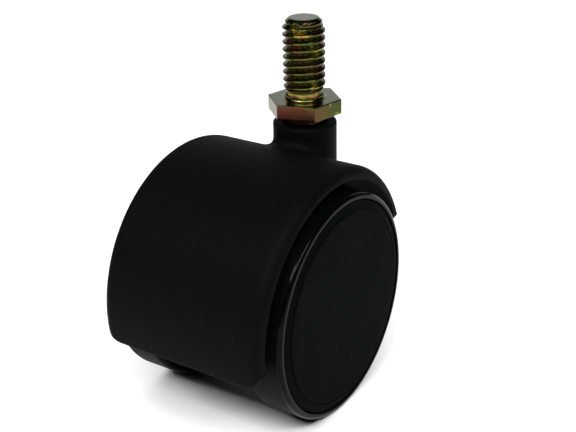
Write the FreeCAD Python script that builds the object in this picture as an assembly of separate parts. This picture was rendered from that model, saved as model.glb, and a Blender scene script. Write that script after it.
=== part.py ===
"""Hooded twin-wheel chair caster with a threaded stem.

Millimetres. The origin is on the stem's axis, at the top face of its hexagon, which
seats against the chair leg. +Z points up along the thread. The axle lies along X,
and the wheels trail behind the stem, towards -Y.
"""
import FreeCAD, Part
import math
import os
from FreeCAD import Vector

# ---- driving dimensions ------------------------------------------------------
# threaded stem: 5/16-18 thread with a plain lead-in and a tapered tip, on a shank that swivels in the neck
THREAD_R = 3.97
THREAD_TOP_Z = 13.48
LEAD_IN_R = 3.45
LEAD_IN_LOW_Z = 14.0
LEAD_IN_HIGH_Z = 14.55
TIP_R = 2.8
TIP_Z = 15.2
HEX_ACROSS_FLATS = 12.4
HEX_HEIGHT = 2.8
HEX_TURN_DEG = 17.5
HEX_CORNER_ROUND = 0.3
SHANK_R = 4.0
SHANK_END_Z = -26.15
SHANK_FOOT_CHAMFER = 0.8
RING_GROOVE_Z = -21.8
RING_GROOVE_ROOT_R = 3.2
RING_GROOVE_WIDTH = 1.5

# spring ring that holds the shank in the neck
RING_WIRE_R = 0.6
RING_CENTRE_R = 3.86
RING_GAP_DEG = 40.0

# where the axle lies from the origin
AXLE_Y = -16.0
AXLE_Z = -32.0

# hood: drum cover, central wall, neck and bosses in one moulding
HOOD_R = 25.5
HOOD_HALF_WIDTH = 16.9
HOOD_END_ROUND = 2.1
HOOD_LIP_ROUND = 0.4
WELL_R = 23.0
HOOD_REAR_EDGE = -5.0
HOOD_FRONT_EDGE = 6.8
HOOD_CORNER_ROUND = 3.6
WALL_HALF = 1.4
NECK_R = 6.05
NECK_TOP_Z = -4.5
NECK_TOP_ROUND = 0.5
NECK_ROOT_FILLET = 1.6
NECK_FOOT_Z = -29.4
AXLE_BOSS_R = 6.4
BOSS_HALF = 6.1
BRIDGE_HALF = 3.4

# socket for the shank, and the steel pad that carries its load
SOCKET_R = 4.06
SOCKET_FLOOR_Z = -27.2
SOCKET_LEAD_IN = 0.5
SOCKET_GROOVE_R = 4.78
SOCKET_GROOVE_WIDTH = 1.9
PAD_R = 4.0
PAD_THICKNESS = 1.0

# axle, with one spacer washer and one push-on nut on each side
AXLE_R = 3.0
AXLE_HALF = 16.1
AXLE_CHAMFER = 0.4
WASHER_R = 5.4
WASHER_BORE_R = 3.06
WASHER_THICKNESS = 0.4
NUT_R = 6.2
NUT_THICKNESS = 0.6
NUT_SLOTS = 6
NUT_SLOT_WIDTH = 0.8
NUT_SLOT_REACH = 4.6
END_FLOAT = 0.12

# wheel, one moulding: hub, disc, ribs and rim
WHEEL_R = 21.1
TREAD_INNER_X = 10.6
TREAD_EDGE_ROUND = 0.9
SHOULDER_ROUND = 0.8
LIP_X = 18.4
CAP_POCKET_R = 19.96
CAP_SEAT_X = 16.7
POCKET_R = 18.7
RIM_INNER_R = 18.9
DISC_INNER_X = 12.9
DISC_OUTER_X = 14.5
HUB_R = 5.6
HUB_BORE_R = 3.05
RIB_COUNT = 10
RIB_THICKNESS = 1.3
RIB_INNER_X = 10.9

# wheel cap, pressed into the rim
CAP_R = 19.85
CAP_FACE_X = 18.6
CAP_FACE_R = 18.2
CAP_RIM_X = 18.25
CAP_EDGE_ROUND = 0.35
CAP_GROOVE_WIDTH = 0.22
CAP_GROOVE_DEPTH = 0.16
CAP_SKIRT_R = 18.65
CAP_SKIRT_THICKNESS = 1.3
CAP_SKIRT_INNER_X = 15.2

X_AXIS = Vector(1, 0, 0)
Z_AXIS = Vector(0, 0, 1)
AXLE_POINT = Vector(0, AXLE_Y, AXLE_Z)
SIDES = {"left": -1, "right": 1}


# ---- shared shapes -----------------------------------------------------------
def rod_x(radius, x_low, x_high, y=AXLE_Y, z=AXLE_Z):
    """Cylinder along X."""
    return Part.makeCylinder(radius, x_high - x_low, Vector(x_low, y, z), X_AXIS)


def rod_z(radius, z_low, z_high):
    """Cylinder on the stem's axis."""
    return Part.makeCylinder(radius, z_high - z_low, Vector(0, 0, z_low), Z_AXIS)


def prism_x(outline, half_width):
    """Straight-sided outline of (y, z) points, carried from -half_width to +half_width along X."""
    points = [Vector(-half_width, y, z) for y, z in outline]
    face = Part.Face(Part.makePolygon(points + points[:1]))
    return face.extrude(Vector(2 * half_width, 0, 0))


def turned(edges, centre, axis):
    """Solid of revolution of a closed chain of edges."""
    face = Part.Face(Part.Wire(Part.__sortEdges__(edges)))
    return Part.Solid(face.revolve(centre, axis, 360))


def straight(points, place):
    """Edges that join (along, radius) points in order."""
    return [Part.LineSegment(place(*a), place(*b)).toShape() for a, b in zip(points, points[1:])]


def arc(start, middle, end, place):
    """Circular edge through three (along, radius) points."""
    return Part.Arc(place(*start), place(*middle), place(*end)).toShape()


def quarter(start, end, centre, place):
    """Quarter-circle edge from start to end about centre, given as (along, radius) points."""
    radius = math.hypot(start[0] - centre[0], start[1] - centre[1])
    lean = [(start[i] + end[i]) / 2 - centre[i] for i in (0, 1)]
    scale = radius / math.hypot(*lean)
    middle = (centre[0] + lean[0] * scale, centre[1] + lean[1] * scale)
    return arc(start, middle, end, place)


def about_stem(z, radius):
    """Point of a section that turns about the stem's axis."""
    return Vector(radius, 0, z)


def about_axle(side):
    """Placing function for a section that turns about the axle, on one side of the caster."""
    return lambda x, radius: Vector(side * x, AXLE_Y, AXLE_Z + radius)


# ---- stem and its ring -------------------------------------------------------
def make_stem():
    """Thread at its full diameter with its tip, hexagon, and shank with a ring groove and chamfered foot."""
    place = about_stem
    groove_top = RING_GROOVE_Z + RING_GROOVE_WIDTH / 2
    groove_bottom = RING_GROOVE_Z - RING_GROOVE_WIDTH / 2
    profile = straight([
        (SHANK_END_Z, 0),
        (TIP_Z, 0),
        (TIP_Z, TIP_R),
        (LEAD_IN_HIGH_Z, LEAD_IN_R),
        (LEAD_IN_LOW_Z, LEAD_IN_R),
        (THREAD_TOP_Z, THREAD_R),
        (0, THREAD_R),
        (-HEX_HEIGHT, THREAD_R),
        (-HEX_HEIGHT, SHANK_R),
        (groove_top, SHANK_R),
        (groove_top, RING_GROOVE_ROOT_R),
        (groove_bottom, RING_GROOVE_ROOT_R),
        (groove_bottom, SHANK_R),
        (SHANK_END_Z + SHANK_FOOT_CHAMFER, SHANK_R),
        (SHANK_END_Z, SHANK_R - SHANK_FOOT_CHAMFER),
        (SHANK_END_Z, 0),
    ], place)
    bar = turned(profile, Vector(0, 0, 0), Z_AXIS)
    corner_r = HEX_ACROSS_FLATS / 2 / math.cos(math.pi / 6)
    corners = []
    for index in range(6):
        turn = math.radians(HEX_TURN_DEG + 60 * index)
        corners.append(Vector(corner_r * math.cos(turn), corner_r * math.sin(turn), -HEX_HEIGHT))
    hexagon = Part.Face(Part.makePolygon(corners + corners[:1])).extrude(Vector(0, 0, HEX_HEIGHT))
    upright = [e for e in hexagon.Edges if abs(e.tangentAt(e.FirstParameter).z) > 0.9]
    hexagon = hexagon.makeFillet(HEX_CORNER_ROUND, upright)
    return bar.fuse(hexagon).removeSplitter()


def make_stem_snap_ring():
    """Round wire bent to a ring, open on one side so that it can close up as it is pushed in."""
    start = Vector(RING_CENTRE_R, 0, RING_GROOVE_Z)
    circle = Part.Wire(Part.makeCircle(RING_WIRE_R, start, Vector(0, 1, 0)))
    ring = Part.Face(circle).revolve(Vector(0, 0, 0), Z_AXIS, 360 - RING_GAP_DEG)
    return Part.Solid(ring)


# ---- hood --------------------------------------------------------------------
def drum_half(side):
    """Half of the drum cover, a full ring, from the caster's middle to its rounded end."""
    place = about_axle(side)
    round_start = (HOOD_HALF_WIDTH - HOOD_END_ROUND, HOOD_R)
    round_end = (HOOD_HALF_WIDTH, HOOD_R - HOOD_END_ROUND)
    lip_start = (HOOD_HALF_WIDTH, WELL_R + HOOD_LIP_ROUND)
    lip_end = (HOOD_HALF_WIDTH - HOOD_LIP_ROUND, WELL_R)
    edges = straight([lip_end, (0, WELL_R), (0, HOOD_R), round_start], place)
    edges.append(quarter(round_start, round_end, (round_start[0], round_end[1]), place))
    edges.append(quarter(lip_start, lip_end, (lip_end[0], lip_start[1]), place))
    return turned(edges, AXLE_POINT, X_AXIS)


def edge_keeper(y_low, y_high, z_low):
    """Block that keeps the cover above a lower edge whose end corners are rounded."""
    width = 2 * HOOD_HALF_WIDTH
    height = HOOD_R + 2 * HOOD_END_ROUND - z_low
    corner = Vector(-HOOD_HALF_WIDTH, AXLE_Y + y_low, AXLE_Z + z_low)
    block = Part.makeBox(width, y_high - y_low, height, corner)
    lower = [e for e in block.Edges
             if abs(e.tangentAt(e.FirstParameter).y) > 0.9 and e.CenterOfMass.z < corner.z + 1]
    return block.makeFillet(HOOD_CORNER_ROUND, lower)


def make_hood():
    """Drum cover open below and at both ends, wall between the wheels, neck and bosses."""
    reach = HOOD_R + 2 * HOOD_END_ROUND
    drum = drum_half(-1).fuse(drum_half(1))
    keep = edge_keeper(-reach, 0, HOOD_REAR_EDGE).fuse(edge_keeper(0, reach, HOOD_FRONT_EDGE))
    cover = drum.common(keep).fuse(rod_z(NECK_R, NECK_FOOT_Z, NECK_TOP_Z)).removeSplitter()
    cover = cover.makeFillet(NECK_ROOT_FILLET, [e for e in cover.Edges if is_neck_root(e)])
    rim = [e for e in cover.Edges if abs(e.CenterOfMass.z - NECK_TOP_Z) < 0.01]
    cover = cover.makeFillet(NECK_TOP_ROUND, rim)
    wall = prism_x([
        (AXLE_Y - WELL_R - 0.5, AXLE_Z + HOOD_REAR_EDGE),
        (AXLE_Y + 3, AXLE_Z + HOOD_REAR_EDGE),
        (AXLE_Y + WELL_R - 2, AXLE_Z + HOOD_FRONT_EDGE),
        (AXLE_Y + WELL_R + 0.5, AXLE_Z + HOOD_FRONT_EDGE),
        (AXLE_Y + WELL_R + 0.5, AXLE_Z + WELL_R + 0.5),
        (AXLE_Y - WELL_R - 0.5, AXLE_Z + WELL_R + 0.5),
    ], WALL_HALF).common(rod_x(WELL_R + 0.5, -WALL_HALF, WALL_HALF))
    bridge = prism_x([
        (AXLE_Y, AXLE_Z - 3),
        (AXLE_Y, AXLE_Z + 5),
        (0, NECK_FOOT_Z + 9),
        (0, NECK_FOOT_Z),
        (-3, NECK_FOOT_Z),
    ], BRIDGE_HALF)
    boss = rod_x(AXLE_BOSS_R, -BOSS_HALF, BOSS_HALF)
    body = cover.multiFuse([wall, bridge, boss])
    groove_low = RING_GROOVE_Z - SOCKET_GROOVE_WIDTH / 2
    cutters = [
        rod_z(SOCKET_R, SOCKET_FLOOR_Z, NECK_TOP_Z),
        rod_z(SOCKET_GROOVE_R, groove_low, groove_low + SOCKET_GROOVE_WIDTH),
        Part.makeCone(SOCKET_R, SOCKET_R + SOCKET_LEAD_IN, SOCKET_LEAD_IN,
                      Vector(0, 0, NECK_TOP_Z - SOCKET_LEAD_IN), Z_AXIS),
        rod_x(AXLE_R, -BOSS_HALF, BOSS_HALF),
    ]
    for cutter in cutters:
        body = body.cut(cutter)
    return body.removeSplitter()


def is_neck_root(edge):
    """True for an edge where the neck's outside meets the drum."""
    if edge.CenterOfMass.z > NECK_TOP_Z - 1:
        return False
    span = edge.LastParameter - edge.FirstParameter
    points = [edge.valueAt(edge.FirstParameter + span * k / 4) for k in range(5)]
    on_neck = all(abs(math.hypot(p.x, p.y) - NECK_R) < 0.02 for p in points)
    on_drum = all(abs(math.hypot(p.y - AXLE_Y, p.z - AXLE_Z) - HOOD_R) < 0.02 for p in points)
    return on_neck and on_drum


def make_thrust_pad():
    """Steel disc on the socket's floor, which the stem's foot turns on."""
    return rod_z(PAD_R, SOCKET_FLOOR_Z, SOCKET_FLOOR_Z + PAD_THICKNESS)


# ---- axle, washers and nuts --------------------------------------------------
def make_axle():
    """Plain steel pin with chamfered ends."""
    pin = rod_x(AXLE_R, -AXLE_HALF, AXLE_HALF)
    ends = [e for e in pin.Edges if abs(abs(e.CenterOfMass.x) - AXLE_HALF) < 0.01]
    return pin.makeChamfer(AXLE_CHAMFER, ends)


def make_spacer_washer(side):
    """Thin ring between the boss and one wheel's hub."""
    start = BOSS_HALF + END_FLOAT / 2
    low, high = sorted((side * start, side * (start + WASHER_THICKNESS)))
    return rod_x(WASHER_R, low, high).cut(rod_x(WASHER_BORE_R, low, high))


def make_push_nut(side):
    """Spring steel ring with slots round its hole, pushed onto the axle's end."""
    start = DISC_OUTER_X + END_FLOAT
    low, high = sorted((side * start, side * (start + NUT_THICKNESS)))
    nut = rod_x(NUT_R, low, high).cut(rod_x(AXLE_R, low, high))
    for index in range(NUT_SLOTS):
        slot = Part.makeBox(high - low, NUT_SLOT_WIDTH, NUT_SLOT_REACH,
                            Vector(low, AXLE_Y - NUT_SLOT_WIDTH / 2, AXLE_Z))
        slot.rotate(AXLE_POINT, X_AXIS, 360 * index / NUT_SLOTS)
        nut = nut.cut(slot)
    return nut


# ---- wheels and caps ---------------------------------------------------------
def make_wheel(side):
    """Hub and disc carrying the rim, ribbed on the inside, with a pocket for the cap outside."""
    place = about_axle(side)
    hub_end = BOSS_HALF + 1.5 * END_FLOAT + WASHER_THICKNESS
    edge = TREAD_EDGE_ROUND
    edges = straight([
        (DISC_OUTER_X, HUB_BORE_R),
        (hub_end, HUB_BORE_R),
        (hub_end, HUB_R),
        (DISC_INNER_X, HUB_R),
        (DISC_INNER_X, RIM_INNER_R),
        (TREAD_INNER_X, RIM_INNER_R),
        (TREAD_INNER_X, WHEEL_R - edge),
    ], place)
    edges.append(quarter((TREAD_INNER_X, WHEEL_R - edge), (TREAD_INNER_X + edge, WHEEL_R),
                         (TREAD_INNER_X + edge, WHEEL_R - edge), place))
    shoulder_start = (LIP_X - SHOULDER_ROUND, WHEEL_R)
    shoulder_end = (LIP_X, WHEEL_R - SHOULDER_ROUND)
    edges += straight([(TREAD_INNER_X + edge, WHEEL_R), shoulder_start], place)
    edges.append(quarter(shoulder_start, shoulder_end, (shoulder_start[0], shoulder_end[1]), place))
    edges += straight([
        shoulder_end,
        (LIP_X, CAP_POCKET_R),
        (CAP_SEAT_X, CAP_POCKET_R),
        (CAP_SEAT_X, POCKET_R),
        (DISC_OUTER_X, POCKET_R),
        (DISC_OUTER_X, HUB_BORE_R),
    ], place)
    wheel = turned(edges, AXLE_POINT, X_AXIS)
    low, high = sorted((side * RIB_INNER_X, side * (DISC_INNER_X + 0.2)))
    ribs = []
    for index in range(RIB_COUNT):
        rib = Part.makeBox(high - low, RIB_THICKNESS, RIM_INNER_R + 0.3 - (HUB_R - 0.3),
                           Vector(low, AXLE_Y - RIB_THICKNESS / 2, AXLE_Z + HUB_R - 0.3))
        rib.rotate(AXLE_POINT, X_AXIS, 360 * index / RIB_COUNT)
        ribs.append(rib)
    return wheel.multiFuse(ribs).removeSplitter()


def make_wheel_cap(side):
    """Disc that closes the wheel's outside: a flat face, a fine groove and a sloping border, with a
    skirt at its back that presses into the wheel's pocket."""
    place = about_axle(side)
    edge = CAP_EDGE_ROUND
    skirt_inner_r = CAP_SKIRT_R - CAP_SKIRT_THICKNESS
    groove_r = CAP_FACE_R - CAP_GROOVE_WIDTH
    groove_x = CAP_FACE_X - CAP_GROOVE_DEPTH
    edges = straight([
        (CAP_RIM_X, CAP_R - edge),
        (CAP_FACE_X, CAP_FACE_R),
        (groove_x, CAP_FACE_R),
        (groove_x, groove_r),
        (CAP_FACE_X, groove_r),
        (CAP_FACE_X, 0),
        (CAP_SEAT_X, 0),
        (CAP_SEAT_X, skirt_inner_r),
        (CAP_SKIRT_INNER_X, skirt_inner_r),
        (CAP_SKIRT_INNER_X, CAP_SKIRT_R),
        (CAP_SEAT_X, CAP_SKIRT_R),
        (CAP_SEAT_X, CAP_R),
        (CAP_RIM_X - edge, CAP_R),
    ], place)
    edges.append(quarter((CAP_RIM_X - edge, CAP_R), (CAP_RIM_X, CAP_R - edge),
                         (CAP_RIM_X - edge, CAP_R - edge), place))
    return turned(edges, AXLE_POINT, X_AXIS)


# ---- every node --------------------------------------------------------------
nodes = {
    "stem": make_stem(),
    "stem_snap_ring": make_stem_snap_ring(),
    "thrust_pad": make_thrust_pad(),
    "hood": make_hood(),
    "axle": make_axle(),
}
for side_name, side in SIDES.items():
    nodes["spacer_washer_" + side_name] = make_spacer_washer(side)
    nodes["push_nut_" + side_name] = make_push_nut(side)
    nodes["wheel_" + side_name] = make_wheel(side)
    nodes["wheel_cap_" + side_name] = make_wheel_cap(side)

os.makedirs("parts", exist_ok=True)
for name, shape in nodes.items():
    shape.exportStep(os.path.join("parts", name + ".step"))
    print(name, "valid", shape.isValid(), "solids", len(shape.Solids), "mm3", round(shape.Volume, 1))
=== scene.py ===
import math

import bmesh
import bpy
import numpy as np
from mathutils import Matrix, Vector


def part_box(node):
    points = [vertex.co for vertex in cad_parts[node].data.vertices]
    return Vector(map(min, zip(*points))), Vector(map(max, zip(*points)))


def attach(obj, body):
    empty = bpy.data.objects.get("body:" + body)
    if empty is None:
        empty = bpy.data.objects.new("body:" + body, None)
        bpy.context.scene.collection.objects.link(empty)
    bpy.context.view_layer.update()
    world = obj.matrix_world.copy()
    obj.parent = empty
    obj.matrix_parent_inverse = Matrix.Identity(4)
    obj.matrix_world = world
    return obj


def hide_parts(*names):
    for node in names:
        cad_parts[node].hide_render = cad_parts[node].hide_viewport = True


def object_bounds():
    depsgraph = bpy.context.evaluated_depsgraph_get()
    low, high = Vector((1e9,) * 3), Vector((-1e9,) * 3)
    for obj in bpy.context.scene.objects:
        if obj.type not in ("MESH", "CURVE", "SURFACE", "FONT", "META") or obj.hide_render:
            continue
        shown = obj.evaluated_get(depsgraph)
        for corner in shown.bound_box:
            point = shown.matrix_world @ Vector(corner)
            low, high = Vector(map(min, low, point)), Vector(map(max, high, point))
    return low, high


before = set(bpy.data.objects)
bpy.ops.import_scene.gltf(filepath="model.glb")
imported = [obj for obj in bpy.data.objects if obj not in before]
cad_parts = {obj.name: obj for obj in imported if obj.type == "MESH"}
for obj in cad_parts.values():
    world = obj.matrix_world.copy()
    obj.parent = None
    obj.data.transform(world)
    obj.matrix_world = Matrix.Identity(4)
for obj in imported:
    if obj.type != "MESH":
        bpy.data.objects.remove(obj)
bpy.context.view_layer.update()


# ---- hood --------------------------------------------------------------------
# One black nylon moulding: a drum cover over both wheels, a neck for the stem, a wall between
# the wheels and a boss for the axle. Its two mould halves meet on the middle plane, where they
# leave a fine witness line, and its skin is spark-eroded to a fine, dull grain.
# Sizes here are millimetres, and angles about the axle start ahead of it and pass over the top.
MM = 0.001
axle_y = sum(corner.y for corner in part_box("axle")) / 2 / MM
axle_z = sum(corner.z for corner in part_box("axle")) / 2 / MM
cover_r = 25.5
cover_half = 16.9
cover_round = 2.1
well_r = 23.0
lip_round = 0.4
rear_edge_z = -5.0
front_edge_z = 6.8
edge_corner_round = 3.6
edge_round = 0.5
witness_height = 0.03
witness_width = 0.09
cover_sweep_steps = 150


def add_mesh(name, verts, quads):
    """Makes a closed mesh from points in millimetres. Points that share a place, as at a pole,
    become one, and every face is turned outwards."""
    mesh = bpy.data.meshes.new(name)
    mesh.from_pydata((np.asarray(verts).reshape(-1, 3) * MM).tolist(), [], np.asarray(quads).tolist())
    shell = bmesh.new()
    shell.from_mesh(mesh)
    bmesh.ops.remove_doubles(shell, verts=shell.verts, dist=1e-3 * MM)
    bmesh.ops.recalc_face_normals(shell, faces=shell.faces)
    shell.to_mesh(mesh)
    shell.free()
    thing = bpy.data.objects.new(name, mesh)
    bpy.context.scene.collection.objects.link(thing)
    return thing


def finish_piece(piece, material, body, node, sharp=35):
    """Shades a piece smooth up to the sharp angle, gives it its finish, hangs it on its body and hides the
    CAD node it stands in for.
    """
    piece.data.polygons.foreach_set("use_smooth", np.ones(len(piece.data.polygons), bool))
    piece.data.set_sharp_from_angle(angle=math.radians(sharp))
    piece.data.materials.clear()
    piece.data.materials.append(material)
    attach(piece, body)
    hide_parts(node)


def grid_quads(rows, columns, wrap_rows=False):
    """Quads between neighbours on a grid stored row by row, whose columns close on themselves."""
    i = np.arange(rows if wrap_rows else rows - 1)[:, None]
    j = np.arange(columns)[None, :]
    i_next, j_next = (i + 1) % rows, (j + 1) % columns
    corners = [i * columns + j, i * columns + j_next, i_next * columns + j_next, i_next * columns + j]
    return np.stack(corners, -1).reshape(-1, 4)


def about_axle(x, radius, angle):
    """Points at a distance from the axle: y goes with the angle's cosine and z with its sine."""
    x, radius, angle = np.broadcast_arrays(x, radius, angle)
    return np.stack([x, axle_y + radius * np.cos(angle), axle_z + radius * np.sin(angle)], -1)


def about_stem(z, radius, angle):
    """Points at a distance from the stem's axis: x goes with the angle's cosine and y with its sine."""
    z, radius, angle = np.broadcast_arrays(z, radius, angle)
    return np.stack([radius * np.cos(angle), radius * np.sin(angle), z], -1)


def quarter(start, end, steps=5, first=0):
    """Quarter ellipse from start to end. The first coordinate to move follows a sine, and the
    other one less a cosine."""
    t = np.linspace(0, math.pi / 2, steps + 1)
    shares = [np.sin(t), 1 - np.cos(t)]
    if first == 1:
        shares.reverse()
    return [(start[0] + (end[0] - start[0]) * a, start[1] + (end[1] - start[1]) * b) for a, b in zip(*shares)]


def make_cover():
    """The wall's section is carried round the axle. At each x and radius the sweep starts and ends
    where that circle meets the edge's height, which rises at the corners along a quarter circle.
    Next to the edges the section shrinks along a quarter circle of edge_round. The witness line
    stands up at the middle as a bell curve of the distance from it."""
    near_middle = witness_width * np.array([0, 0.3, 0.6, 1, 1.6, 3, 8])
    flat_x = (cover_half - cover_round) * np.sin(np.linspace(0.12, 1, 20) * math.pi / 2)
    arc = np.linspace(0, math.pi / 2, 13)[1:]
    lip = np.linspace(0, math.pi / 2, 7)[1:][::-1]
    flat_x = np.concatenate([near_middle, flat_x])
    outer_x = np.concatenate([flat_x, cover_half - cover_round * (1 - np.sin(arc))])
    outer_r = np.concatenate([np.full(len(flat_x), cover_r), cover_r - cover_round * (1 - np.cos(arc))])
    outer_r -= witness_height * (1 - np.exp(-(outer_x / witness_width) ** 2))
    outer_lean = np.concatenate([np.zeros(len(flat_x)), arc])
    plain = len(outer_x) - len(lip)
    inner_x = np.concatenate([outer_x[:plain], cover_half - lip_round * (1 - np.cos(lip))])
    inner_r = np.concatenate([np.full(plain, well_r), well_r + lip_round * (1 - np.sin(lip))])
    inner_lean = np.concatenate([np.full(plain, math.pi), math.pi / 2 + lip])

    def around(outer, inner, sign):
        """The section walked once: along its outside from end to end, then back along its inside."""
        return np.concatenate([sign * outer[:0:-1], outer, inner[::-1], sign * inner[1:]])

    x = around(outer_x, inner_x, -1)
    radius = around(outer_r, inner_r, 1)
    lean_x = np.sin(around(outer_lean, inner_lean, 1)) * np.sign(x)
    lean_r = np.cos(around(outer_lean, inner_lean, 1))
    past = np.clip(np.abs(x) - (cover_half - edge_corner_round), 0, edge_corner_round)
    lift = edge_corner_round - np.sqrt(edge_corner_round ** 2 - past ** 2)

    turn = np.linspace(0, math.pi / 2, 6)
    inset = edge_round * (1 - np.sin(turn))
    offset = edge_round * (1 - np.cos(turn))
    full = np.full(cover_sweep_steps + len(turn), edge_round)
    inset = np.concatenate([inset, np.zeros(cover_sweep_steps), inset[::-1]])[:, None]
    swept = np.linspace(0, 1, cover_sweep_steps + 2)[1:-1]
    share = np.concatenate([np.zeros(len(turn)), swept, np.ones(len(turn))])[:, None]
    row_x = x - lean_x * inset
    row_r = radius - lean_r * inset
    from_front = np.concatenate([offset, full])[:, None] / row_r
    from_rear = np.concatenate([full, offset[::-1]])[:, None] / row_r
    start = np.arcsin((front_edge_z + lift) / row_r) + from_front
    end = math.pi - np.arcsin((rear_edge_z + lift) / row_r) - from_rear
    verts = about_axle(row_x, row_r, start + (end - start) * share)
    rows, columns = verts.shape[:2]
    k = np.arange(columns // 2 - 1)
    cap = np.stack([k, k + 1, columns - 2 - k, columns - 1 - k], -1)
    return verts, np.concatenate([grid_quads(rows, columns), cap, cap + (rows - 1) * columns])


neck_r = 6.05
neck_top_z = -4.5
neck_top_round = 0.5
neck_root_fillet = 1.6
neck_foot_z = -29.4
neck_foot_round = 0.4
neck_sink = 1.6
flare_overrun = 0.25
flare_sink = 0.12
flare_depth = 1.2


def make_neck():
    """Round neck about the stem's axis. Its foot flares onto the cover: on each side a quadratic
    curve leaves the neck straight down and meets the cover along its slope, with tangents of the
    fillet's radius over the tangent of half the angle between them. Inside the cover it is round."""
    angle = np.linspace(0, 2 * math.pi, 144, endpoint=False)

    def cover_z(reach, depth=0.0):
        """Height of a surface at that depth under the cover's outside, at a reach from the stem's axis."""
        along = reach * np.sin(angle) - axle_y
        return axle_z + np.sqrt((cover_r - depth) ** 2 - along ** 2)

    def slope(reach):
        """How far the cover's outside falls for each millimetre further out."""
        along = reach * np.sin(angle) - axle_y
        return along * np.sin(angle) / np.sqrt(cover_r ** 2 - along ** 2)

    fall = np.arctan(slope(neck_r))
    tangent = neck_root_fillet / np.tan((math.pi / 2 + fall) / 2)
    end_r = neck_r + tangent * np.cos(fall)
    end_z = cover_z(end_r)
    bend_z = end_z + (end_r - neck_r) * slope(end_r)
    start_z = bend_z + tangent
    side_z = neck_top_z - neck_top_round
    inner_z = cover_z(neck_r, neck_sink)
    rows = [(0, neck_top_z)]
    rows += quarter((neck_r - neck_top_round, neck_top_z), (neck_r, side_z))
    rows += [(neck_r, side_z + (start_z - side_z) * t) for t in np.linspace(0.1, 1, 10)]
    for t in np.linspace(0.1, 1, 10):
        early, late = 2 * t * (1 - t), t * t
        rows.append((
            neck_r * ((1 - t) ** 2 + early) + end_r * late,
            start_z * (1 - t) ** 2 + bend_z * early + end_z * late,
        ))
    past_r = end_r + flare_overrun
    rows += [(past_r, cover_z(past_r, flare_sink)), (end_r, cover_z(end_r, flare_depth))]
    foot_z = neck_foot_z + neck_foot_round
    rows += [(neck_r, inner_z + (foot_z - inner_z) * t) for t in np.linspace(0, 1, 6)]
    rows += quarter((neck_r, foot_z), (neck_r - neck_foot_round, neck_foot_z), first=1)[1:]
    rows += [(0, neck_foot_z)]
    verts = np.stack([about_stem(z, radius, angle) for radius, z in rows])
    return verts, grid_quads(*verts.shape[:2])


def lathe(profile, place, segments=128, closed=False):
    """Carries (along, radius) points round an axis; a profile that starts and ends on the axis makes
    poles there, and a closed one makes a ring."""
    along, radius = np.array(profile, float).T[:, :, None]
    angle = np.linspace(0, 2 * math.pi, segments, endpoint=False)[None, :]
    return place(along, radius, angle), grid_quads(len(profile), segments, wrap_rows=closed)


def plate(outline, half, round_off):
    """Flat plate across the middle plane: an outline of (y, z) points is drawn in by a quarter
    circle of round_off at both faces, each of which closes on the outline's middle."""
    outline = np.array(outline, float)
    ahead, behind = np.roll(outline, -1, 0) - outline, outline - np.roll(outline, 1, 0)
    ahead /= np.linalg.norm(ahead, axis=1)[:, None]
    behind /= np.linalg.norm(behind, axis=1)[:, None]
    inward = np.stack([-(ahead + behind)[:, 1], (ahead + behind)[:, 0]], -1)
    inward /= (1 + (ahead * behind).sum(1))[:, None]
    t = np.linspace(0, math.pi / 2, 5)
    low = [(-half + round_off * (1 - math.cos(a)), round_off * (1 - math.sin(a))) for a in t]
    rows = low + [(-x, inset) for x, inset in low[::-1]]
    sheets = [np.column_stack([np.full(len(outline), x), outline + inward * inset]) for x, inset in rows]
    middle = np.tile(outline.mean(0), (len(outline), 1))
    sheets.insert(0, np.column_stack([np.full(len(outline), -half), middle]))
    sheets.append(np.column_stack([np.full(len(outline), half), middle]))
    return np.stack(sheets), grid_quads(len(sheets), len(outline))


wall_half = 1.4
wall_round = 0.3
wall_overlap = 0.5
wall_low_front = 3.0
wall_high_front = 21.0
wall_front_end = 22.0


def wall_outline():
    """Wall between the wheels: a circle about the axle inside the cover, cut off level below the
    boss and along a slope up to the cover's front edge."""
    angle = np.linspace(math.radians(-168), math.radians(192), 240, endpoint=False)
    low_front = np.array([wall_low_front, rear_edge_z])
    slope = np.array([wall_high_front, front_edge_z]) - low_front
    normal = np.array([slope[1], -slope[0]]) / np.hypot(*slope)
    facing = normal[0] * np.cos(angle) + normal[1] * np.sin(angle)
    radius = np.full(len(angle), well_r + wall_overlap)
    below = np.sin(angle) < -0.01
    radius[below] = np.minimum(radius[below], rear_edge_z / np.sin(angle[below]))
    sloped = (facing > 0.05) & (angle < math.atan2(front_edge_z, wall_front_end))
    radius[sloped] = np.minimum(radius[sloped], (normal @ low_front) / facing[sloped])
    return np.column_stack([axle_y + radius * np.cos(angle), axle_z + radius * np.sin(angle)])


boss_r = 6.4
boss_half = 6.1
boss_round = 0.4
bridge_half = 3.4
bridge_round = 0.4
bridge_drop = 3
bridge_rise = 5
bridge_height = 9
bridge_foot_y = -3
socket_r = 4.06
socket_floor_z = -27.2
socket_groove_r = 4.78
socket_groove_z = (-22.75, -20.85)
socket_lead_in = 0.5
axle_r = 3.0
bridge = [
    (axle_y, axle_z - bridge_drop), (bridge_foot_y, neck_foot_z), (0, neck_foot_z),
    (0, neck_foot_z + bridge_height), (axle_y, axle_z + bridge_rise),
]
boss = [(-boss_half, 0)]
boss += quarter((-boss_half, boss_r - boss_round), (-boss_half + boss_round, boss_r), first=1)
boss += quarter((boss_half - boss_round, boss_r), (boss_half, boss_r - boss_round))
boss += [(boss_half, 0)]
socket = [
    (socket_floor_z, 0), (socket_floor_z, socket_r),
    (socket_groove_z[0], socket_r), (socket_groove_z[0], socket_groove_r),
    (socket_groove_z[1], socket_groove_r), (socket_groove_z[1], socket_r),
    (neck_top_z - socket_lead_in, socket_r), (neck_top_z + 0.1, socket_r + socket_lead_in + 0.1),
    (neck_top_z + 0.1, 0),
]
axle_hole = [(-boss_half - 1, 0), (-boss_half - 1, axle_r), (boss_half + 1, axle_r), (boss_half + 1, 0)]
hood = add_mesh("hood_moulding", *make_cover())
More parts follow.
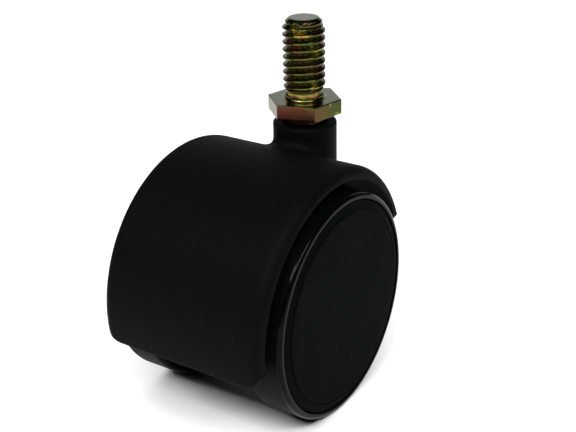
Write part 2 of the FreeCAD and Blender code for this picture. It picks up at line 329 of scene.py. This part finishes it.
tools = [
    (add_mesh("neck", *make_neck()), "UNION"),
    (add_mesh("wall", *plate(wall_outline(), wall_half, wall_round)), "UNION"),
    (add_mesh("bridge", *plate(bridge, bridge_half, bridge_round)), "UNION"),
    (add_mesh("boss", *lathe(boss, about_axle, 96)), "UNION"),
    (add_mesh("socket", *lathe(socket, about_stem, 96)), "DIFFERENCE"),
    (add_mesh("axle_hole", *lathe(axle_hole, about_axle, 96)), "DIFFERENCE"),
]
for tool, operation in tools:
    step = hood.modifiers.new(tool.name, "BOOLEAN")
    step.object, step.operation, step.solver = tool, operation, "MANIFOLD"
joined = bpy.data.meshes.new_from_object(hood.evaluated_get(bpy.context.evaluated_depsgraph_get()))
hood.modifiers.clear()
hood.data = joined
for tool, operation in tools:
    bpy.data.objects.remove(tool)


def nylon(name, colour, roughness, specular, grain_pitch, grain_depth):
    """Black moulded nylon. The grain's pitch and depth are millimetres; a cloudy noise shifts the
    colour and the polish a little, as the flow of the plastic does."""
    material = bpy.data.materials.new(name)
    material.use_nodes = True
    tree, link = material.node_tree, material.node_tree.links.new
    shader = tree.nodes["Principled BSDF"]
    shader.inputs["Specular IOR Level"].default_value = specular
    place = tree.nodes.new("ShaderNodeTexCoord")
    grain = tree.nodes.new("ShaderNodeTexNoise")
    grain.inputs["Scale"].default_value = 1 / (grain_pitch * MM)
    grain.inputs["Detail"].default_value = 3
    cloud = tree.nodes.new("ShaderNodeTexNoise")
    cloud.inputs["Scale"].default_value = 140
    cloud.inputs["Detail"].default_value = 4
    tone = tree.nodes.new("ShaderNodeMix")
    tone.data_type = "RGBA"
    tone.inputs["A"].default_value = (*[0.7 * c for c in colour], 1)
    tone.inputs["B"].default_value = (*[1.3 * c for c in colour], 1)
    both = tree.nodes.new("ShaderNodeMath")
    both.operation = "ADD"
    polish = tree.nodes.new("ShaderNodeMapRange")
    polish.inputs["From Min"].default_value = 0.6
    polish.inputs["From Max"].default_value = 1.4
    polish.inputs["To Min"].default_value = roughness - 0.08
    polish.inputs["To Max"].default_value = roughness + 0.08
    bump = tree.nodes.new("ShaderNodeBump")
    bump.inputs["Distance"].default_value = grain_depth * MM
    for texture in (grain, cloud):
        link(place.outputs["Object"], texture.inputs["Vector"])
    link(grain.outputs["Fac"], both.inputs[0])
    link(cloud.outputs["Fac"], both.inputs[1])
    link(cloud.outputs["Fac"], tone.inputs["Factor"])
    link(both.outputs["Value"], polish.inputs["Value"])
    link(tone.outputs["Result"], shader.inputs["Base Color"])
    link(polish.outputs["Result"], shader.inputs["Roughness"])
    link(grain.outputs["Fac"], bump.inputs["Height"])
    link(bump.outputs["Normal"], shader.inputs["Normal"])
    return material


hood_nylon = nylon("hood_nylon", (0.0016, 0.0020, 0.0019), 0.6, 0.03, 0.45, 0.05)
finish_piece(hood, hood_nylon, "hood", "hood")


# ---- wheels ------------------------------------------------------------------
# Two nylon mouldings that roll side by side under the hood. Each has a hub on the axle, a disc
# with ten ribs on its inner side, a rim whose plain tread has rubbed dull, and a shoulder that is
# still glossy from the mould.
wheel_r = 21.1
tread_inner_x = 10.6
tread_round = 0.9
shoulder_round = 0.8
lip_x = 18.4
lip_r = 19.96
cap_seat_x = 16.7
pocket_r = 18.7
rim_inner_r = 18.9
disc_x = (12.9, 14.5)
hub_r = 5.6
hub_bore_r = 3.05
hub_end_x = 6.68
rib_count = 10
rib_half = 0.65
rib_draft = 0.18
rib_x = 10.9
wheel_edge = 0.25
lip_edge = 0.08
gloss_from_lip = 0.1


def make_wheel(side):
    """A profile is carried round the axle. Over the disc's inner face it stands forward at the
    ribs, whose sides stay straight because their columns are at the angle whose sine is their
    offset over the radius."""
    e = wheel_edge
    profile = [(hub_end_x, hub_bore_r)]
    profile += quarter((hub_end_x, hub_r - e), (hub_end_x + e, hub_r), 4, first=1)
    floor_start = len(profile)
    profile += quarter((disc_x[0] - e, hub_r), (disc_x[0], hub_r + e), 4)
    profile += [(disc_x[0], r) for r in np.linspace(hub_r + 1, rim_inner_r - 1, 12)]
    profile += quarter((disc_x[0], rim_inner_r - e), (disc_x[0] - e, rim_inner_r), 4, first=1)
    floor_end = len(profile)
    profile += quarter((tread_inner_x + e, rim_inner_r), (tread_inner_x, rim_inner_r + e), 4)
    tread_start, tread_end = tread_inner_x + tread_round, lip_x - shoulder_round
    profile += quarter((tread_inner_x, wheel_r - tread_round), (tread_start, wheel_r), 8, first=1)
    profile += [(x, wheel_r) for x in np.linspace(tread_start + 0.5, tread_end - 0.5, 8)]
    profile += quarter((tread_end, wheel_r), (lip_x, wheel_r - shoulder_round), 12)
    profile += quarter((lip_x, lip_r + lip_edge), (lip_x - lip_edge, lip_r), 3, first=1)
    profile += [(cap_seat_x, lip_r), (cap_seat_x, pocket_r), (disc_x[1], pocket_r), (disc_x[1], hub_bore_r)]
    along, radius = np.array(profile).T
    between = 12
    across = np.array([-rib_half - rib_draft, -rib_half, 0, rib_half, rib_half + rib_draft])
    on_rib = np.array([0, 1, 1, 1, 0])
    pitch = 2 * math.pi / rib_count
    start = np.arcsin(across / radius[:, None])
    free = start[:, -1:] + (pitch + start[:, :1] - start[:, -1:]) * np.linspace(0, 1, between + 2)[1:-1]
    sector = np.concatenate([start, free], 1)
    angle = np.concatenate([sector + pitch * k for k in range(rib_count)], 1)
    stands = np.tile(np.concatenate([on_rib, np.zeros(between)]), rib_count)
    x = np.tile(along[:, None], (1, angle.shape[1]))
    floor = x[floor_start:floor_end]
    x[floor_start:floor_end] = np.where(stands == 1, np.minimum(floor, rib_x), floor)
    verts = about_axle(side * x, radius[:, None], angle + math.pi / 2)
    return verts, grid_quads(*verts.shape[:2], wrap_rows=True)


wheel_dull = nylon("wheel_dull_nylon", (0.0010, 0.0012, 0.0012), 0.5, 0.03, 0.7, 0.02)
wheel_gloss = nylon("wheel_gloss_nylon", (0.0010, 0.0011, 0.0012), 0.13, 0.05, 0.9, 0.004)
for name, side in (("left", -1), ("right", 1)):
    wheel = add_mesh("wheel_moulding_" + name, *make_wheel(side))
    finish_piece(wheel, wheel_dull, "wheel_" + name, "wheel_" + name)
    wheel.data.materials.append(wheel_gloss)
    middles = np.empty(len(wheel.data.polygons) * 3)
    wheel.data.polygons.foreach_get("center", middles)
    middles = middles.reshape(-1, 3) / MM
    reach = np.hypot(middles[:, 1] - axle_y, middles[:, 2] - axle_z)
    outside = np.abs(middles[:, 0]) > lip_x - shoulder_round
    on_shoulder = outside & (reach > lip_r + gloss_from_lip)
    wheel.data.polygons.foreach_set("material_index", on_shoulder.astype(int))


# ---- wheel caps --------------------------------------------------------------
# A black nylon disc closes each wheel's outside and hides the axle's end. A fine groove parts its
# flat, dull-grained face from a sloping border, and a skirt presses into the wheel's pocket.
cap_r = 19.85
cap_face_x = 18.6
cap_face_r = 18.2
cap_rim_x = 18.25
cap_edge = 0.35
groove_width = 0.22
groove_depth = 0.16
groove_lip = 0.04
skirt_r = (17.35, 18.65)
skirt_x = 15.2


def cap_profile(side):
    """Half section of the cap, from the middle of its face to the middle of its back."""
    groove_r = cap_face_r - groove_width
    points = [(cap_face_x, r) for r in np.linspace(0, groove_r - 1, 12)]
    points += quarter((cap_face_x, groove_r - groove_lip), (cap_face_x - groove_lip, groove_r), 3, first=1)
    points += [(cap_face_x - groove_depth, groove_r), (cap_face_x - groove_depth, cap_face_r)]
    points += [(cap_face_x - groove_lip, cap_face_r), (cap_face_x - 0.01, cap_face_r + groove_lip)]
    points += quarter((cap_rim_x, cap_r - cap_edge), (cap_rim_x - cap_edge, cap_r), 8, first=1)
    points += [(cap_seat_x, cap_r), (cap_seat_x, skirt_r[1]), (skirt_x, skirt_r[1])]
    points += [(skirt_x, skirt_r[0]), (cap_seat_x, skirt_r[0]), (cap_seat_x, 0)]
    return [(side * x, r) for x, r in points]


cap_nylon = nylon("cap_nylon", (0.0012, 0.0016, 0.0014), 0.6, 0.01, 0.4, 0.04)
for name, side in (("left", -1), ("right", 1)):
    cap = add_mesh("cap_moulding_" + name, *lathe(cap_profile(side), about_axle, 192))
    finish_piece(cap, cap_nylon, "wheel_" + name, "wheel_cap_" + name)


# ---- stem --------------------------------------------------------------------
# A steel stem, cold-headed with its hexagon and rolled with a coarse thread, then plated with
# zinc and passivated yellow. The film's thickness varies, so it shifts between gold, brown-pink
# and olive. Bright yellow and orange on the collar are painted glints, and the paler grey-green
# of the hexagon's top and the tip is a painted highlight.
thread_r = 3.97
thread_pitch = 25.4 / 18
thread_depth = 0.56 * thread_pitch
thread_run_out = 1.1
crest_softness = 0.07
root_softness = 0.05
tip_softness = 0.03
lead_in_r = 3.45
lead_in_z = 14.0
tip_r = 2.8
tip_z = 15.2
crest_turn = math.radians(213.85)
crest_z = 13.49
collar_r = 3.55
collar_top_z = 1.5
collar_fillet = 0.6
hex_half = 6.2
hex_height = 2.8
hex_turn = math.radians(17.5)
hex_corner = 0.3
hex_edge = 0.14
shank_r = 4.0
shank_end_z = -26.15
shank_chamfer = 0.8
ring_groove_z = (-22.55, -21.05)
ring_groove_r = 3.2


def hexagon_radius(angle):
    """Distance to a hexagon's side is its half width over the cosine from the side's middle; near a
    corner it is that of a small circle tangent to both sides."""
    from_corner = (angle - hex_turn + math.pi / 6) % (math.pi / 3) - math.pi / 6
    centre = (hex_half - hex_corner) / math.cos(math.pi / 6)
    reach = math.atan2(hex_corner / 2, centre + hex_corner * math.cos(math.pi / 6))
    side = hex_half / np.cos(math.pi / 6 - np.abs(from_corner))
    inside = np.clip(hex_corner ** 2 - (centre * np.sin(from_corner)) ** 2, 0, None)
    return np.where(np.abs(from_corner) < reach, centre * np.cos(from_corner) + np.sqrt(inside), side)


def stem_angles():
    """Columns of the stem: close together at the hexagon's corners and even between them."""
    corner = np.radians(np.linspace(-1.215, 1.215, 7))
    between = np.linspace(corner[-1], math.pi / 3 + corner[0], 26)[1:-1]
    sector = np.concatenate([corner, between])
    return np.concatenate([hex_turn + sector + k * math.pi / 3 for k in range(6)])


def soften(low, high, width):
    """Smooth minimum of two heights, which rounds the corner between them."""
    return -width * np.logaddexp(-low / width, -high / width)


def thread_radius(angle, z):
    """Right-hand 60 degree thread. Away from the crest's helix the radius falls by root three times
    the distance past an eighth of the pitch; crest and root are rounded, as rolling leaves them.
    It runs out to the collar below, and above it drops to a plain lead-in that ends in a cone."""
    helix = crest_z + thread_pitch * (angle - crest_turn) / (2 * math.pi)
    away = np.abs((z - helix + thread_pitch / 2) % thread_pitch - thread_pitch / 2)
    flank = thread_r - math.sqrt(3) * (away - thread_pitch / 8)
    shape = soften(flank, thread_r, crest_softness)
    shape = -soften(-shape, -(thread_r - thread_depth), root_softness)
    run_out = np.clip((z - collar_top_z) / thread_run_out, 0, 1)
    run_out = run_out * run_out * (3 - 2 * run_out)
    shape = collar_r + (shape - collar_r) * run_out
    shape = soften(shape, lead_in_r + max(0.0, lead_in_z - z), root_softness)
    return soften(shape, tip_r + tip_z - z, tip_softness)


def make_stem():
    """Rows of (radius, height) from the shank's foot to the thread's tip, round the stem's columns."""
    angle = stem_angles()
    flat = hexagon_radius(angle)
    rows = [(0, shank_end_z), (shank_r - shank_chamfer, shank_end_z), (shank_r, shank_end_z + shank_chamfer)]
    rows += [(shank_r, ring_groove_z[0]), (ring_groove_r, ring_groove_z[0])]
    rows += [(ring_groove_r, ring_groove_z[1]), (shank_r, ring_groove_z[1])]
    rows += [(shank_r, z) for z in np.linspace(ring_groove_z[1] + 1, -hex_height, 12)]
    rows += [(shank_r + (flat - shank_r) * share, -hex_height) for share in (0.35, 0.7)]
    rows += quarter((flat - hex_edge, -hex_height), (flat, -hex_height + hex_edge), 4)
    rows += [(flat, z) for z in np.linspace(-hex_height + hex_edge, -hex_edge, 8)[1:-1]]
    rows += quarter((flat, -hex_edge), (flat - hex_edge, 0), 4, first=1)
    foot_r = collar_r + collar_fillet
    rows += [(flat + (foot_r - flat) * share, 0) for share in (0.4, 0.8)]
    rows += quarter((foot_r, 0), (collar_r, collar_fillet), 5)
    rows += [(thread_radius(angle, z), z) for z in np.arange(0.5, tip_z - 0.06, thread_pitch / 18)]
    rows += [(tip_r - 0.02, tip_z - 0.02), (tip_r - 0.12, tip_z), (tip_r - 0.8, tip_z), (0, tip_z)]
    verts = np.stack([about_stem(z, radius, angle) for radius, z in rows])
    return verts, grid_quads(*verts.shape[:2])


def yellow_zinc():
    """Passivated zinc. Broad noise and the piece's own attribute of film tint and painted highlights
    pick the tint from a ramp, and finer noise mottles it and varies its polish. The ramp's bright
    yellow and orange are painted glints, and its pale grey-green end is a painted highlight."""
    material = bpy.data.materials.new("yellow_zinc")
    material.use_nodes = True
    tree, link = material.node_tree, material.node_tree.links.new
    shader = tree.nodes["Principled BSDF"]
    shader.inputs["Metallic"].default_value = 1.0
    place = tree.nodes.new("ShaderNodeTexCoord")
    film_and_painted_highlights = tree.nodes.new("ShaderNodeTexNoise")
    film_and_painted_highlights.inputs["Scale"].default_value = 260
    film_and_painted_highlights.inputs["Detail"].default_value = 3
    fine = tree.nodes.new("ShaderNodeTexNoise")
    fine.inputs["Scale"].default_value = 2600
    fine.inputs["Detail"].default_value = 4
    mottle = tree.nodes.new("ShaderNodeMath")
    mottle.operation = "MULTIPLY_ADD"
    mottle.inputs[1].default_value = 0.25
    side = tree.nodes.new("ShaderNodeAttribute")
    side.attribute_name = "film_and_painted_highlights"
    pick = tree.nodes.new("ShaderNodeMath")
    pick.operation = "ADD"
    ramp = tree.nodes.new("ShaderNodeValToRGB")
    ends = ramp.color_ramp.elements
    ends[0].position, ends[0].color = 0.05, (0.090, 0.020, 0.015, 1)
    # The pale grey-green end, at 0.97 and 1.00, is a painted highlight for the level faces.
    ends[1].position, ends[1].color = 1.00, (0.080, 0.098, 0.055, 1)
    ends.new(0.30).color = (0.074, 0.034, 0.017, 1)
    ends.new(0.48).color = (0.085, 0.055, 0.020, 1)
    ends.new(0.62).color = (0.066, 0.060, 0.014, 1)
    ends.new(0.74).color = (0.044, 0.058, 0.020, 1)
    # Bright yellow at 0.84 and orange at 0.91 are painted glints for the collar.
    ends.new(0.84).color = (0.240, 0.220, 0.040, 1)
    ends.new(0.91).color = (0.340, 0.140, 0.040, 1)
    ends.new(0.97).color = (0.080, 0.098, 0.055, 1)
    polish = tree.nodes.new("ShaderNodeMapRange")
    polish.inputs["To Min"].default_value = 0.12
    polish.inputs["To Max"].default_value = 0.34
    bump = tree.nodes.new("ShaderNodeBump")
    bump.inputs["Distance"].default_value = 0.008 * MM
    for texture in (film_and_painted_highlights, fine):
        link(place.outputs["Object"], texture.inputs["Vector"])
    link(fine.outputs["Fac"], mottle.inputs[0])
    link(film_and_painted_highlights.outputs["Fac"], mottle.inputs[2])
    link(mottle.outputs["Value"], pick.inputs[0])
    link(side.outputs["Fac"], pick.inputs[1])
    link(pick.outputs["Value"], ramp.inputs["Fac"])
    link(ramp.outputs["Color"], shader.inputs["Base Color"])
    link(fine.outputs["Fac"], polish.inputs["Value"])
    link(polish.outputs["Result"], shader.inputs["Roughness"])
    link(fine.outputs["Fac"], bump.inputs["Height"])
    link(bump.outputs["Normal"], shader.inputs["Normal"])
    return material


pink_side = math.radians(275)


def film_and_highlight_shift(turn, height):
    """Shift of the tint along its ramp, from the turn about the stem and the height. A weak wave of the
    film's tint winds up above the hexagon. Below its top the side that faces pink_side loses by a
    cosine squared. The collar gains a little, up to the ramp's bright yellow and orange, which are
    painted glints, and the level faces, the hexagon's top and the tip, most, up to its pale grey-green,
    which is a painted highlight."""
    film_and_painted_highlights = 0.12 * np.sin(3 * turn + 0.9 * height) * (height > 0.1)
    film_and_painted_highlights -= 0.32 * np.clip(np.cos(turn - pink_side), 0, 1) ** 2 * (height < -0.1)
    # Painted glints: the collar is lifted onto the ramp's bright yellow and orange.
    film_and_painted_highlights += 0.15 * ((height > 0.02) & (height < 1.4)) + 0.07 * ((height > 0.6) & (height < 1.4))
    # Painted highlight: the level faces are lifted onto the ramp's pale grey-green end.
    return film_and_painted_highlights + 0.50 * ((np.abs(height) < 0.02) | (height > tip_z - 0.1))


stem = add_mesh("stem_bar", *make_stem())
points = np.empty(len(stem.data.vertices) * 3)
stem.data.vertices.foreach_get("co", points)
# This attribute carries the film's tint together with the painted glints on the collar and the painted
# highlight on the level faces.
film_and_painted_highlights = film_and_highlight_shift(np.arctan2(points[1::3], points[0::3]), points[2::3] / MM)
stem.data.attributes.new("film_and_painted_highlights", "FLOAT", "POINT").data.foreach_set("value", film_and_painted_highlights)
finish_piece(stem, yellow_zinc(), "stem", "stem", 30)


# ---- snap ring, pad, axle, washers and nuts ----------------------------------
# Small steel parts inside: a spring wire ring in the shank's groove, a hard pad under its foot,
# a drawn axle, two washers, and two spring steel nuts pushed onto the axle's ends.
def steel(name, colour, roughness, stretch, pitch, depth, spots=0.3):
    """Steel with drawing or stamping marks: noise stretched along one axis gives the marks and a
    finer one mottles the colour. Pitch and depth are millimetres."""
    material = bpy.data.materials.new(name)
    material.use_nodes = True
    tree, link = material.node_tree, material.node_tree.links.new
    shader = tree.nodes["Principled BSDF"]
    shader.inputs["Metallic"].default_value = 1.0
    place = tree.nodes.new("ShaderNodeTexCoord")
    along = tree.nodes.new("ShaderNodeMapping")
    along.inputs["Scale"].default_value = stretch
    marks = tree.nodes.new("ShaderNodeTexNoise")
    marks.inputs["Scale"].default_value = 1 / (pitch * MM)
    marks.inputs["Detail"].default_value = 4
    mottle = tree.nodes.new("ShaderNodeTexNoise")
    mottle.inputs["Scale"].default_value = 700
    mottle.inputs["Detail"].default_value = 5
    tone = tree.nodes.new("ShaderNodeMix")
    tone.data_type = "RGBA"
    tone.inputs["A"].default_value = (*[c * (1 - spots) for c in colour], 1)
    tone.inputs["B"].default_value = (*[min(1, c * (1 + spots)) for c in colour], 1)
    polish = tree.nodes.new("ShaderNodeMapRange")
    polish.inputs["To Min"].default_value = roughness - 0.1
    polish.inputs["To Max"].default_value = roughness + 0.1
    bump = tree.nodes.new("ShaderNodeBump")
    bump.inputs["Distance"].default_value = depth * MM
    link(place.outputs["Object"], along.inputs["Vector"])
    link(along.outputs["Vector"], marks.inputs["Vector"])
    link(place.outputs["Object"], mottle.inputs["Vector"])
    link(mottle.outputs["Fac"], tone.inputs["Factor"])
    link(tone.outputs["Result"], shader.inputs["Base Color"])
    link(marks.outputs["Fac"], polish.inputs["Value"])
    link(polish.outputs["Result"], shader.inputs["Roughness"])
    link(marks.outputs["Fac"], bump.inputs["Height"])
    link(bump.outputs["Normal"], shader.inputs["Normal"])
    return material


def refinish(node, material):
    """Gives a CAD node its finish."""
    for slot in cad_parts[node].material_slots:
        slot.material = material


drawn_steel = steel("drawn_steel", (0.50, 0.49, 0.47), 0.28, (0.08, 1, 1), 0.12, 0.006)
zinc_washer = steel("zinc_washer_steel", (0.60, 0.61, 0.62), 0.34, (1, 1, 1), 0.25, 0.006)
tempered_steel = steel("tempered_steel", (0.16, 0.14, 0.12), 0.36, (1, 1, 0.3), 0.18, 0.006)
ground_steel = steel("ground_steel", (0.46, 0.46, 0.45), 0.25, (0.1, 1, 1), 0.1, 0.004)
refinish("axle", drawn_steel)
refinish("thrust_pad", ground_steel)
refinish("stem_snap_ring", tempered_steel)
for name in ("left", "right"):
    refinish("spacer_washer_" + name, zinc_washer)
    refinish("push_nut_" + name, tempered_steel)


# ---- floor -------------------------------------------------------------------
# A wide, flat sheet of matt white paper. It lies at the caster's lowest point, so that the wheels
# stand on it.
floor_half = 1.5
floor_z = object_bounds()[0].z
floor_mesh = bpy.data.meshes.new("floor")
corners = [(-1, -1), (1, -1), (1, 1), (-1, 1)]
floor_mesh.from_pydata([(x * floor_half, y * floor_half, floor_z) for x, y in corners], [], [(0, 1, 2, 3)])
floor = bpy.data.objects.new("floor", floor_mesh)
bpy.context.scene.collection.objects.link(floor)
paper = bpy.data.materials.new("white_paper")
paper.use_nodes = True
paper_shader = paper.node_tree.nodes["Principled BSDF"]
paper_shader.inputs["Base Color"].default_value = (0.93, 0.93, 0.93, 1)
paper_shader.inputs["Roughness"].default_value = 0.95
paper_shader.inputs["Specular IOR Level"].default_value = 0.0
floor_mesh.materials.append(paper)


# ---- lights ------------------------------------------------------------------
# A large soft box overhead, a strip on each side of the camera, a low, wide box behind the caster,
# and a white room that gives no light and shows only behind the floor.
light_target = Vector((0, -0.01, -0.02))


def soft_box(name, azimuth, elevation, distance, size, power, mirrored=True):
    """Rectangular area light aimed at the caster. Azimuth 0 stands on the -Y side and 90 on the
    +X side, as degrees. Gloss doesn't show a light that isn't mirrored."""
    a, e = math.radians(azimuth), math.radians(elevation)
    way = Vector((math.sin(a) * math.cos(e), -math.cos(a) * math.cos(e), math.sin(e)))
    light = bpy.data.lights.new(name, "AREA")
    light.shape = "RECTANGLE"
    light.size, light.size_y = size
    light.energy = power
    lamp = bpy.data.objects.new(name, light)
    lamp.location = light_target + way * distance
    lamp.visible_glossy = mirrored
    lamp.rotation_mode = "QUATERNION"
    lamp.rotation_quaternion = way.to_track_quat("Z", "Y")
    bpy.context.scene.collection.objects.link(lamp)


soft_box("overhead_box", 200, 86, 0.9, (1.2, 1.2), 8.4, mirrored=False)
soft_box("left_box", -2, 48, 0.8, (0.80, 0.20), 6.2)
soft_box("right_box", 63, 48, 0.8, (0.50, 0.20), 4.2)
soft_box("back_box", 214, 17, 0.9, (1.3, 0.42), 1.5)
room = bpy.data.worlds.new("room")
room.use_nodes = True
room.node_tree.nodes["Background"].inputs["Color"].default_value = (1, 1, 1, 1)
room.node_tree.nodes["Background"].inputs["Strength"].default_value = 1.0
room.cycles_visibility.glossy = False
room.cycles_visibility.diffuse = False
bpy.context.scene.world = room
bpy.context.scene.view_settings.view_transform = "Standard"


# ---- camera ------------------------------------------------------------------
# A close view from behind the caster's right side. It looks down at the caster, with a slight
# tilt.
camera_place = (0.10566, -0.16397, 0.06502)
camera_azimuth = math.radians(33.845)
camera_elevation = math.radians(24.665)
camera_tilt = math.radians(-1.211)
back = Vector((
    math.sin(camera_azimuth) * math.cos(camera_elevation),
    -math.cos(camera_azimuth) * math.cos(camera_elevation),
    math.sin(camera_elevation),
))
level_right = Vector((math.cos(camera_azimuth), math.sin(camera_azimuth), 0))
level_up = back.cross(level_right)
tilted_right = math.cos(camera_tilt) * level_right + math.sin(camera_tilt) * level_up
tilted_up = back.cross(tilted_right)
camera = bpy.data.objects.new("camera", bpy.data.cameras.new("camera"))
camera.data.lens = 68.13
camera.data.sensor_width = 36
camera.data.clip_start = 0.01
turned = Matrix((tilted_right, tilted_up, back)).transposed().to_4x4()
camera.matrix_world = Matrix.Translation(camera_place) @ turned
bpy.context.scene.collection.objects.link(camera)
bpy.context.scene.camera = camera
